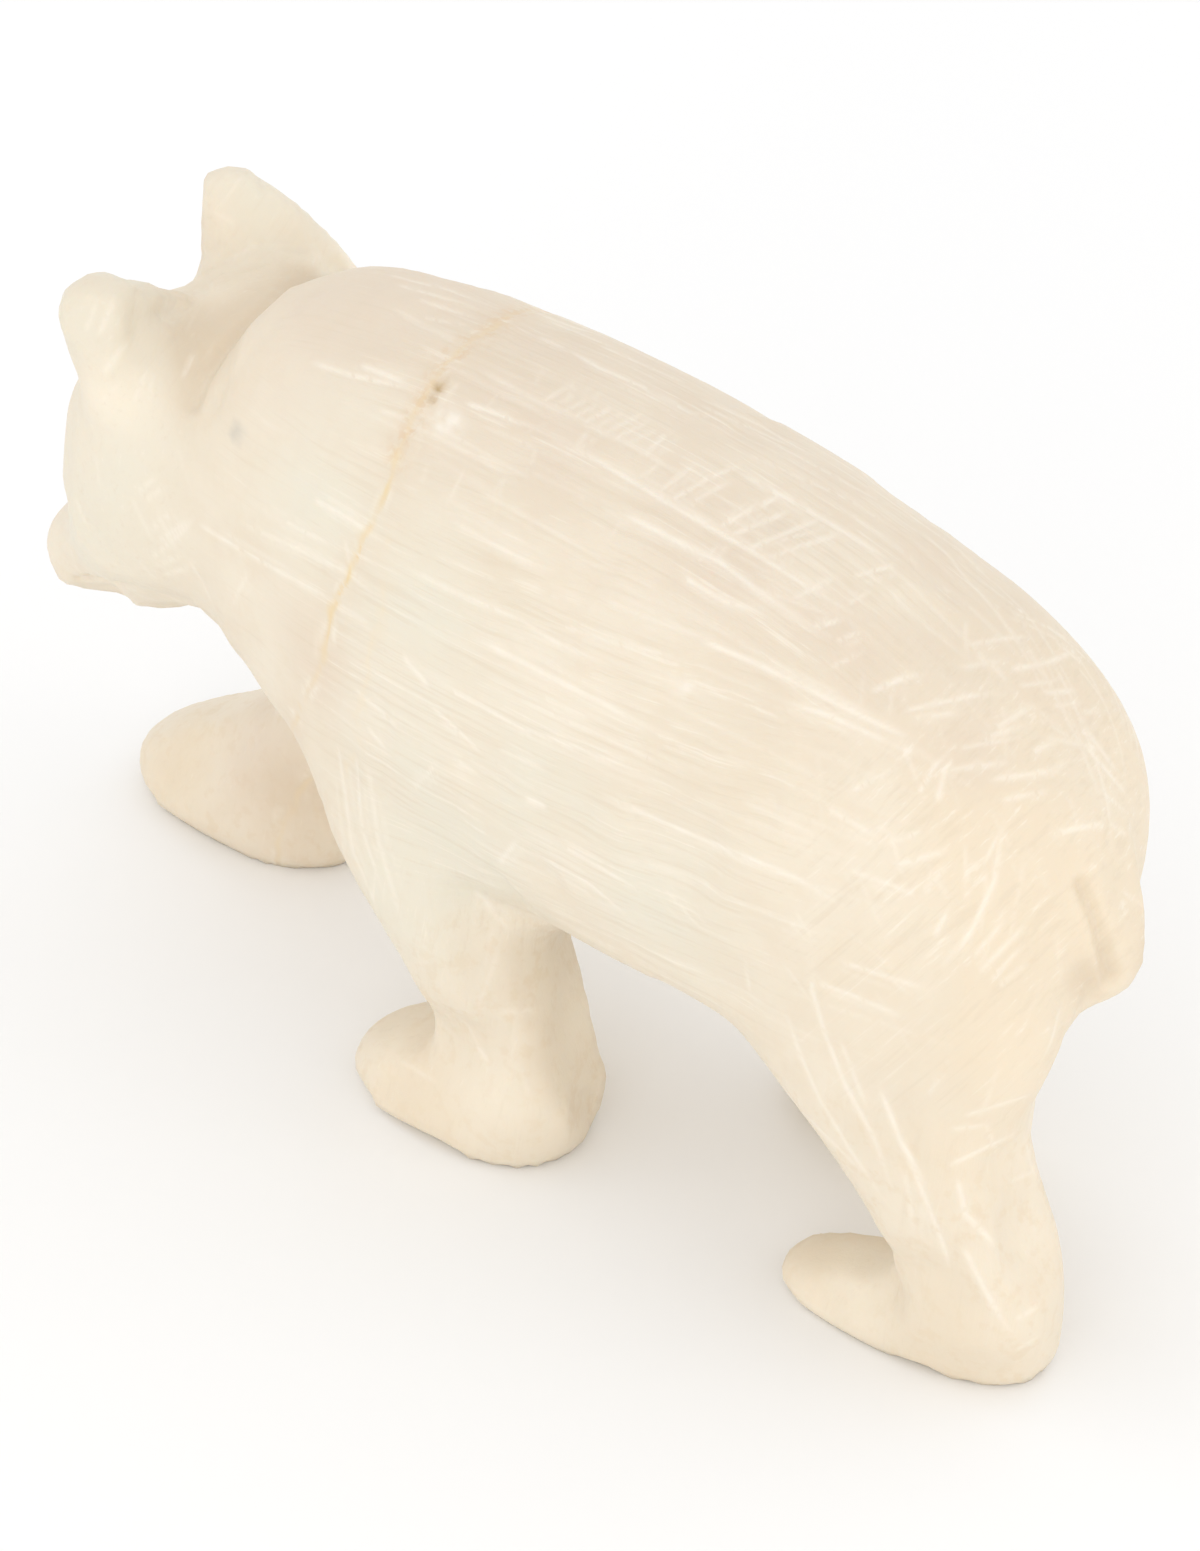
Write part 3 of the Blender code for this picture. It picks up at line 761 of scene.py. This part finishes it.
def cut_back(places, triangles):
    """The heel and the undersides of the head cut straight, and the soft places rubbed."""
    tree = surface_tree(places, triangles)
    facing = np.array(BACK + RIGHT * math.tan(math.radians(HEEL_TURN)))
    heel = place_under(tree, HEEL_PIXEL)
    places = flattened(places, heel, facing, HEEL_DEPTH, HEEL_REACH, HEEL_MOST)
    facing = along_row(UNDERSIDE_FACING)
    for row, reach in UNDERSIDES:
        places = flattened(places, from_row(row), facing, 0.0, reach, UNDERSIDE_MOST)
    for pixel, reach in RUBBED:
        places = rubbed(places, triangles, place_under(tree, pixel), reach)
    return places


def filed_flat(places, triangles):
    """The flats that the file left, first the broad ones and then the small ones all over."""
    tree = surface_tree(places, triangles)
    for pixel, right, up, depth, reach in FLATS:
        place, facing = under_pixel(tree, *pixel)
        facing = facing + RIGHT * math.tan(math.radians(right)) + UP * math.tan(math.radians(up))
        places = flattened(places, np.array(place), np.array(facing), depth, reach, FLAT_MOST)
    draw = random.Random(SEED)
    normals = facings(places, triangles)
    for _ in range(SMALL_FLATS):
        k = draw.randrange(len(places))
        facing = normals[k] + np.array([draw.gauss(0, SMALL_LEAN) for _ in range(3)])
        depth, reach = draw.uniform(*SMALL_DEPTHS), draw.uniform(*SMALL_REACHES)
        places = flattened(places, places[k].copy(), facing, depth, reach, SMALL_MOST)
    return places


def carve_forms(places, triangles):
    for carve in (built_up, cut_back, filed_flat, dished_ears):
        places = carve(places, triangles)
    return places


def cut_lines(tree):
    """The creases, the nostrils, the mouth's line and the hollows of the face, as (width, depth, path)."""
    cuts = [(width, depth, path_under(tree, pixels)) for width, depth, pixels in CREASES]
    for side in (-1, 1):
        for forward, out, up, middle, width, depth in FACE_CUTS:
            place = from_head(forward, out * side + middle, up)
            cuts.append((width, depth, [tree.find_nearest(Vector(place))[0]]))
        mouth = []
        for forward in np.linspace(MOUTH_BACK, MOUTH_FRONT, MOUTH_PLACES):
            place = from_head(forward, MOUTH_OUT * side + MOUTH_MIDDLE, MOUTH_HEIGHT)
            mouth.append(tree.find_nearest(Vector(place))[0])
        cuts.append((MOUTH_WIDTH, MOUTH_DEPTH, mouth))
    return cuts


# File strokes


def beside(pixels, draw):
    """A line of pixels moved a little to one side and shortened, as the next tooth of the file leaves it."""
    corners = np.array(pixels, float)
    reach = np.concatenate([[0], np.cumsum(np.hypot(*np.diff(corners, axis=0).T))])
    start, end = draw.uniform(*COMPANION_STARTS), draw.uniform(*COMPANION_ENDS)
    shares = np.linspace(start, end, COMPANION_CORNERS) * reach[-1]
    line = np.stack([np.interp(shares, reach, corners[:, k]) for k in (0, 1)], 1)
    right, down = (corners[-1] - corners[0]) / np.linalg.norm(corners[-1] - corners[0])
    return line + np.array((-down, right)) * draw.choice((-1, 1)) * draw.uniform(*COMPANION_GAPS)


def traced_strokes(tree, draw):
    """The strokes that the photograph shows, and fainter ones beside them."""
    drawn = []
    tables = FLANK_STROKES, BACK_STROKES + HATCHING, RUMP_STROKES + LEG_STROKES + HEAD_STROKES
    for table, companions, strength in zip(tables, COMPANIONS, STRENGTHS):
        for weight, pixels in table:
            drawn.append((path_under(tree, pixels), weight * strength))
            for _ in range(companions):
                path = path_under(tree, beside(pixels, draw))
                drawn.append((path, weight * draw.uniform(*COMPANION_WEIGHTS)))
    return drawn


def row_of_strokes(tree, draw):
    """The row of short strokes on the back."""
    drawn = []
    for i in range(ROW_COUNT):
        x, y = ROW_START[0] + ROW_STEP[0] * i, ROW_START[1] + ROW_STEP[1] * i
        end = (x + ROW_RUN[0], y + ROW_RUN[1] - draw.uniform(0, ROW_RAGGED))
        drawn.append((path_under(tree, ((x, y), end)), draw.uniform(*ROW_WEIGHTS)))
    return drawn


def heading_down(normal, angle):
    """The way over the stone to the tail, turned down by an angle."""
    down = np.cross(normal, (0, 1, 0))
    down *= -math.copysign(1, down[2])
    return Vector((0, math.cos(angle), 0)) + Vector(down) * math.sin(angle)


def within(values, limits):
    return (values > limits[0]) & (values < limits[1])


def scattered_strokes(places, triangles, tree, draw):
    """Strokes from chance starts, with the directions that the file takes in each part."""
    drawn = []
    normals = facings(places, triangles)
    forward = -places[:, 1] - ROW_TO_MESH
    for count, sides, ahead, heights, angles, lengths, weights in SCATTERED:
        fits = within(forward, ahead) & within(places[:, 2], heights) & np.isin(np.sign(places[:, 0]), sides)
        starts = np.flatnonzero(fits)
        for _ in range(count):
            k = draw.choice(starts)
            heading = heading_down(normals[k], math.radians(draw.uniform(*angles)))
            path = path_along(tree, Vector(places[k]), heading, draw.uniform(*lengths))
            drawn.append((path, draw.uniform(*weights)))
    return drawn


def strokes(places, triangles, tree):
    """Every file stroke, as (path, weight)."""
    draw = random.Random(SEED + 1)
    drawn = traced_strokes(tree, draw) + row_of_strokes(tree, draw)
    drawn += scattered_strokes(places, triangles, tree, draw)
    return [(path, weight) for path, weight in drawn if len(path) > SHORTEST]


def press_along(count, draw):
    """How hard a stroke presses at each of its places: it bites, holds unevenly and lifts."""
    bite, lift = draw.uniform(*BITES), draw.uniform(*LIFTS)
    lane = draw.uniform(0, 100)
    shares = []
    for i in range(count):
        t = (i + 0.5) / count
        wave = noise.noise(Vector((lane, i * STEP / WAVER_LENGTH, 0)))
        shares.append(min(t / bite, 1, (1 - t) / lift) * (1 - WAVER / 2 + WAVER * wave))
    return shares


def stroked(places, drawn):
    """How deep the strokes cut each vertex, and how far they bruised the stone white there."""
    tree = KDTree(len(places))
    for i, place in enumerate(places.tolist()):
        tree.insert(place, i)
    tree.balance()
    depth, bruise = np.zeros(len(places)), np.zeros(len(places))
    draw = random.Random(SEED + 2)
    for path, weight in drawn:
        width = STROKE_WIDTH * draw.uniform(*WIDTH_SPREAD) * (WEIGHT_WIDTHS[0] + WEIGHT_WIDTHS[1] * weight)
        for place, share in zip(path, press_along(len(path), draw)):
            for _, i, distance in tree.find_range(place, STROKE_REACH * width):
                bite = share * math.exp(-((distance / width) ** 2))
                depth[i] = max(depth[i], STROKE_DEPTH * weight * bite)
                bruise[i] = min(max(bruise[i], weight * bite), 1)
    return depth, bruise


# The stone's marks


def bell(distance, reach):
    """1 at no distance, falling off round."""
    return np.exp(-((distance / reach) ** 2))


def vein_distance(places):
    """How far each place is from the crack, and from its paler branch."""
    x, y, z = places.T
    wander = 0.9 * noise_at(places, 5.0, 3.1) + 0.45 * noise_at(places, 1.6, 8.3)
    lean = VEIN_LEAN * np.clip(VEIN_LEANS_FROM - x, 0, None)
    crack = y - (np.interp(z, VEIN_HEIGHTS, VEIN_PLACES) - lean) + wander
    branch = y - np.interp(z, BRANCH_HEIGHTS, BRANCH_PLACES) + 1.4 * wander
    has_branch = (x > 0) & within(z, (BRANCH_HEIGHTS[0], BRANCH_HEIGHTS[-1]))
    return np.abs(crack) * VEIN_SLANT, np.where(has_branch, np.abs(branch), NO_BRANCH)


def tone_and_light_patches(places, tree, patches, offset):
    """How far a place takes a tint of the stone, of painted shade or of painted light, from soft patches of
    uneven strength on both sides.
    """
    folded = places.copy()
    folded[:, 0] = np.abs(places[:, 0])
    total = np.zeros(len(places))
    for pixel, radius in patches:
        middle = place_under(tree, pixel)
        middle[0] = abs(middle[0])
        total += bell(np.linalg.norm(folded - middle, axis=1), radius)
    return np.clip(total * (0.8 + 0.7 * noise_at(places, 6.0, offset)), 0, 1)


def spotted(places, tree, spots):
    """Spots that are round from the photograph's side, and only on the side of the stone that it shows."""
    total = np.zeros(len(places))
    for pixel, radius, strength in spots:
        away = places - place_under(tree, pixel)
        seen = np.hypot(away @ np.array(RIGHT), away @ np.array(UP))
        total += strength * bell(seen, radius) * (np.linalg.norm(away, axis=1) < SPOT_REACH * radius)
    return total


def crack_marks(places, tree, crack, branch):
    """How strongly the vein, its halo, its branch, its rusty stretch and its pit, whose dark tint is painted
    shade, show at each place.
    """
    height = places[:, 2]
    fade = patchy(places, 5.0, 5.5, -0.4, 0.3)
    strong = smooth_step(height, *VEIN_STRONG[0]) * (1 - smooth_step(height, *VEIN_STRONG[1]))
    broken = patchy(places, 1.8, 7.7, -0.35, 0.25)
    breadth = VEIN_BREADTH + VEIN_SPREAD * patchy(places, 1.6, 6.5, -0.3, 0.4) * (0.4 + 0.6 * strong)
    rust = bell(crack, RUST_REACH) * smooth_step(height, *RUST_HEIGHTS)
    pit = spotted(places, tree, PIT_SPOTS)
    return {
        "vein": bell(crack, breadth) * np.clip(0.2 + 0.25 * fade + 0.55 * strong * broken, 0, 1),
        "halo": bell(crack, HALO_REACH) * (0.4 + 0.4 * fade),
        "branch": bell(branch, BRANCH_REACH) * 0.6,
        "rust": rust * np.clip(0.75 + 0.9 * noise_at(places, 1.1, 2.9), 0, 1),
        "pit": np.clip(pit * (1.1 + 0.9 * noise_at(places, 0.45, 4.4)), 0, 1),
    }


def surface_marks(places, tree, crack):
    """How strongly the tints, among them patches of painted shade and painted light, and the other marks
    show, and which part of the bear each place belongs to.
    """
    _, y, z = places.T
    pale = spotted(places, tree, PALE_SPOTS)
    rump_side = smooth_step(y, 22, 32) * (1 - smooth_step(z, 34, 42))
    plain = 0.9 * (1 - smooth_step(z, 16, 26)) + 0.9 * (1 - smooth_step(y, -19, -7)) + 0.5 * rump_side
    marks = {
        "edge": bell(crack - EDGE_PLACE, EDGE_REACH) * patchy(places, 2.2, 9.5, -0.1, 0.5),
        "amber": np.clip(spotted(places, tree, AMBER_SPOTS) * bell(crack, AMBER_REACH), 0, 1),
        "inclusion": np.clip(spotted(places, tree, INCLUSION_SPOTS), 0, 1),
        "pale_patch": np.clip(pale * (1 + 1.2 * noise_at(places, 0.7, 3.9)), 0, 1),
        "limb": 1 - smooth_step(z, 20, 30),
        "rump": smooth_step(y, 30, 40),
        "head": 1 - smooth_step(y, -31, -25),
        "plain": np.clip(plain, 0, 1),
    }
    for i, (name, patches) in enumerate(PATCHES.items()):
        marks[name] = tone_and_light_patches(places, tree, patches, STAIN_OFFSET + i)
    return marks


# The carving


def refined(places, triangles, drawn, cuts):
    """Smaller triangles where the strokes, the cuts and the vein need them."""
    ink = [point for path, _ in drawn for point in path]
    edges = [point for _, _, path in cuts for point in path]
    for reach in REFINEMENTS:
        near = np.minimum(distance_to(places, ink), vein_distance(places)[0])
        near = np.minimum(near, distance_to(places, edges) - CUT_MARGIN)
        places, triangles = halved(places, triangles, near < reach)
    return places, triangles


def grounded(places):
    """The soles brought down flat, where the smoothing had lifted their edges off the ground."""
    height = places[:, 2]
    soles = height < SOLE_HEIGHT
    places[soles, 2] = np.maximum(height[soles] - SOLE_DROP, 0)
    return places


def build_carving():
    places, triangles = even_skin(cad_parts["bear"])
    places = carve_forms(places, triangles)
    tree = surface_tree(places, triangles)
    drawn = strokes(places, triangles, tree)
    cuts = cut_lines(tree)
    places, triangles = refined(places, triangles, drawn, cuts)
    for width, depth, path in cuts:
        places = pressed(places, facings(places, triangles), distance_to(places, path), width, depth)
    normals = facings(places, triangles)
    depth, bruise = stroked(places, drawn)
    crack, branch = vein_distance(places)
    marks = {"bruise": bruise} | crack_marks(places, tree, crack, branch)
    depth += VEIN_DEPTH * marks["vein"] + PIT_DEPTH * marks["pit"]
    depth += RUST_DEPTH * marks["rust"] * (0.5 + noise_at(places, 0.8, 2.2))
    places = places - normals * depth[:, None]
    places += normals * (GRAIN_HEIGHT * noise_at(places, GRAIN_SIZE, 1.7))[:, None]
    places = grounded(places)
    return places, triangles, marks | surface_marks(places, tree, crack)


def add_piece(name, places, triangles, marks):
    mesh = bpy.data.meshes.new(name)
    mesh.from_pydata((places * MM).tolist(), [], triangles.tolist())
    mesh.shade_smooth()
    for mark, values in marks.items():
        mesh.attributes.new(mark, "FLOAT", "POINT").data.foreach_set("value", values.astype(np.float32))
    piece = bpy.data.objects.new(name, mesh)
    bpy.context.scene.collection.objects.link(piece)
    return piece


# Materials


class Nodes:
    """Short ways to add nodes to a material."""

    def __init__(self, material):
        material.use_nodes = True
        self.tree = material.node_tree
        self.shader = self.tree.nodes["Principled BSDF"]

    def add(self, kind, settings=None, **inputs):
        made = self.tree.nodes.new("ShaderNode" + kind)
        for key, value in (settings or {}).items():
            setattr(made, key, value)
        for key, value in inputs.items():
            self.put(made.inputs[key.replace("_", " ")], value)
        return made

    def put(self, socket, value):
        if isinstance(value, bpy.types.NodeSocket):
            self.tree.links.new(value, socket)
        else:
            socket.default_value = value

    def mark(self, name):
        return self.add("Attribute", {"attribute_name": name}).outputs["Fac"]

    def noise(self, vector, scale, detail=2.0, roughness=0.5):
        made = self.add("TexNoise", Vector=vector, Scale=scale, Detail=detail, Roughness=roughness)
        return made.outputs["Fac"]

    def ramp(self, value, low, high, bottom=0.0, top=1.0):
        made = self.add("MapRange", {"interpolation_type": "SMOOTHSTEP"}, Value=value)
        for key, number in (("From Min", low), ("From Max", high), ("To Min", bottom), ("To Max", top)):
            made.inputs[key].default_value = number
        return made.outputs["Result"]

    def math(self, operation, a, b):
        made = self.add("Math", {"operation": operation})
        self.put(made.inputs[0], a)
        self.put(made.inputs[1], b)
        return made.outputs[0]

    def between(self, kind, share, a, b):
        made = self.add("Mix", {"data_type": kind})
        for socket, value in zip([s for s in made.inputs if s.enabled], (share, a, b)):
            self.put(socket, value)
        return next(s for s in made.outputs if s.enabled)

    def blend(self, share, a, b):
        """A number between a and b."""
        return self.between("FLOAT", share, a, b)

    def mix(self, share, a, b):
        """A colour between a and b."""
        return self.between("RGBA", share, a, b)

    def tinted(self, tone, mark, share, tint):
        """A colour with a tint laid over it where the stone carries a mark or a patch of painted shade or
        light.
        """
        return self.mix(self.math("MULTIPLY", self.mark(mark), share), tone, colour(tint))


def colour(screen):
    """A screen colour of 0 to 255 as Blender's linear colour."""
    return tuple(((v / 255 + 0.055) / 1.055) ** 2.4 for v in screen) + (1.0,)


def hairs(n, place, turn, fineness):
    """Fine scratches along one direction, from 0 to 1."""
    turn = [math.radians(degrees) for degrees in turn]
    sizes = [1 / marks for marks in fineness]
    spread = n.add("Mapping", {"vector_type": "TEXTURE"}, Vector=place, Rotation=turn, Scale=sizes)
    return n.noise(spread.outputs["Vector"], 1.0, 3.0, 0.65)


def scratches(n, place):
    """The fine scratches that follow the files: along the body, down the limbs and aslant on the rump."""
    facing = n.add("SeparateXYZ", Vector=n.add("TexCoord").outputs["Normal"]).outputs["Z"]
    upward = n.ramp(n.math("ABSOLUTE", facing, 0.0), 0.5, 0.85)
    body = n.blend(upward, hairs(n, place, *SIDE_HAIRS), hairs(n, place, *TOP_HAIRS))
    trunk = n.blend(n.mark("head"), body, hairs(n, place, *HEAD_HAIRS))
    trunk = n.blend(n.mark("rump"), trunk, hairs(n, place, *RUMP_HAIRS))
    return n.blend(n.mark("limb"), trunk, hairs(n, place, *LIMB_HAIRS))


def stone_tone(n, place, cloud, fine):
    """The stone's colour: its clouds, its tints, among them painted shade and painted light, its fine
    scratches and then its marks.
    """
    drift = n.noise(place, 60.0, 3.0, 0.55)
    speck = n.noise(place, 700.0, 3.0, 0.6)
    tone = n.mix(n.ramp(drift, 0.35, 0.65), colour(STONE), colour(LIGHTER_STONE))
    tone = n.mix(n.ramp(cloud, 0.42, 0.72, 0.0, 0.35), tone, colour(CLOUD_TINT))
    tone = n.tinted(tone, "limb", n.ramp(speck, 0.5, 0.66, 0.0, 0.4), SPECK_TINT)
    for mark, share, tint in STONE_AND_PAINTED_LIGHT_TINTS:
        tone = n.tinted(tone, mark, share, tint)
    tone = n.mix(n.ramp(fine, 0.50, 0.36, 0.0, 0.26), tone, colour(DARK_SCRATCH))
    tone = n.mix(n.ramp(fine, 0.56, 0.72, 0.0, 0.55), tone, colour(LIGHT_SCRATCH))
    rust_share = n.ramp(n.noise(place, 1300.0, 3.0, 0.6), 0.42, 0.58, 0.1, 0.95)
    for mark, share, tint in MARK_TINTS:
        tone = n.tinted(tone, mark, rust_share if share is None else share, tint)
    return tone


def soapstone():
    material = bpy.data.materials.new("soapstone")
    n = Nodes(material)
    place = n.add("TexCoord").outputs["Object"]
    cloud = n.noise(place, 260.0, 4.0, 0.6)
    grain = n.noise(place, 2400.0, 3.0, 0.6)
    calm = n.math("MULTIPLY", n.mark("plain"), 0.55)
    calm = n.math("MAXIMUM", calm, n.ramp(cloud, 0.5, 0.68, 0.0, 0.6))
    fine = n.blend(calm, scratches(n, place), 0.53)
    n.put(n.shader.inputs["Base Color"], stone_tone(n, place, cloud, fine))
    n.put(n.shader.inputs["Roughness"], n.ramp(grain, 0.3, 0.7, 0.52, 0.64))
    n.shader.inputs["Specular IOR Level"].default_value = 0.3
    n.shader.inputs["Subsurface Weight"].default_value = 0.2
    n.shader.inputs["Subsurface Radius"].default_value = (1.0, 0.7, 0.45)
    n.shader.inputs["Subsurface Scale"].default_value = 0.0012
    lines = n.add("Bump", Height=fine, Strength=0.35, Distance=0.0002)
    bump = n.add("Bump", Height=grain, Strength=0.2, Distance=0.00006, Normal=lines.outputs["Normal"])
    n.put(n.shader.inputs["Normal"], bump.outputs["Normal"])
    return material


def floor_material():
    material = bpy.data.materials.new("studio_floor")
    n = Nodes(material)
    n.shader.inputs["Base Color"].default_value = FLOOR_COLOUR
    n.shader.inputs["Roughness"].default_value = FLOOR_ROUGHNESS
    n.shader.inputs["Specular IOR Level"].default_value = FLOOR_SHINE
    return material


# The studio


def add_camera():
    data = bpy.data.cameras.new("camera")
    data.lens, data.sensor_width = LENS, SENSOR
    data.clip_start, data.clip_end = CLIP_START, CLIP_END
    camera = bpy.data.objects.new("camera", data)
    bpy.context.scene.collection.objects.link(camera)
    camera.matrix_world = Matrix((
        (RIGHT.x, UP.x, BACK.x, EYE.x * MM),
        (RIGHT.y, UP.y, BACK.y, EYE.y * MM),
        (RIGHT.z, UP.z, BACK.z, EYE.z * MM),
        (0, 0, 0, 1),
    ))
    bpy.context.scene.camera = camera


def add_lamp(name, right, up, back, power):
    """A square soft light that shines on the bear from a direction."""
    data = bpy.data.lights.new(name, "AREA")
    data.shape, data.size, data.energy = "SQUARE", LAMP_SIZE, power
    lamp = bpy.data.objects.new(name, data)
    bpy.context.scene.collection.objects.link(lamp)
    away = (RIGHT * right + UP * up + BACK * back).normalized()
    lamp.location = away * LAMP_DISTANCE + LAMP_MIDDLE
    lamp.rotation_euler = away.to_track_quat("Z", "Y").to_euler()
    lamp.visible_camera = False


def add_studio():
    bpy.ops.mesh.primitive_plane_add(size=FLOOR_SIZE)
    floor = bpy.context.active_object
    floor.name = "floor"
    floor.data.materials.append(floor_material())
    world = bpy.data.worlds.new("studio")
    world.use_nodes = True
    sky = world.node_tree.nodes["Background"]
    sky.inputs["Color"].default_value = SKY_COLOUR
    sky.inputs["Strength"].default_value = SKY_STRENGTH
    bpy.context.scene.world = world
    for lamp in LAMPS:
        add_lamp(*lamp)
    bpy.context.scene.view_settings.view_transform = "Standard"


add_camera()
add_studio()
carving = add_piece("bear_carving", *build_carving())
carving.data.materials.append(soapstone())
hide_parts("bear")
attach(carving, "root")
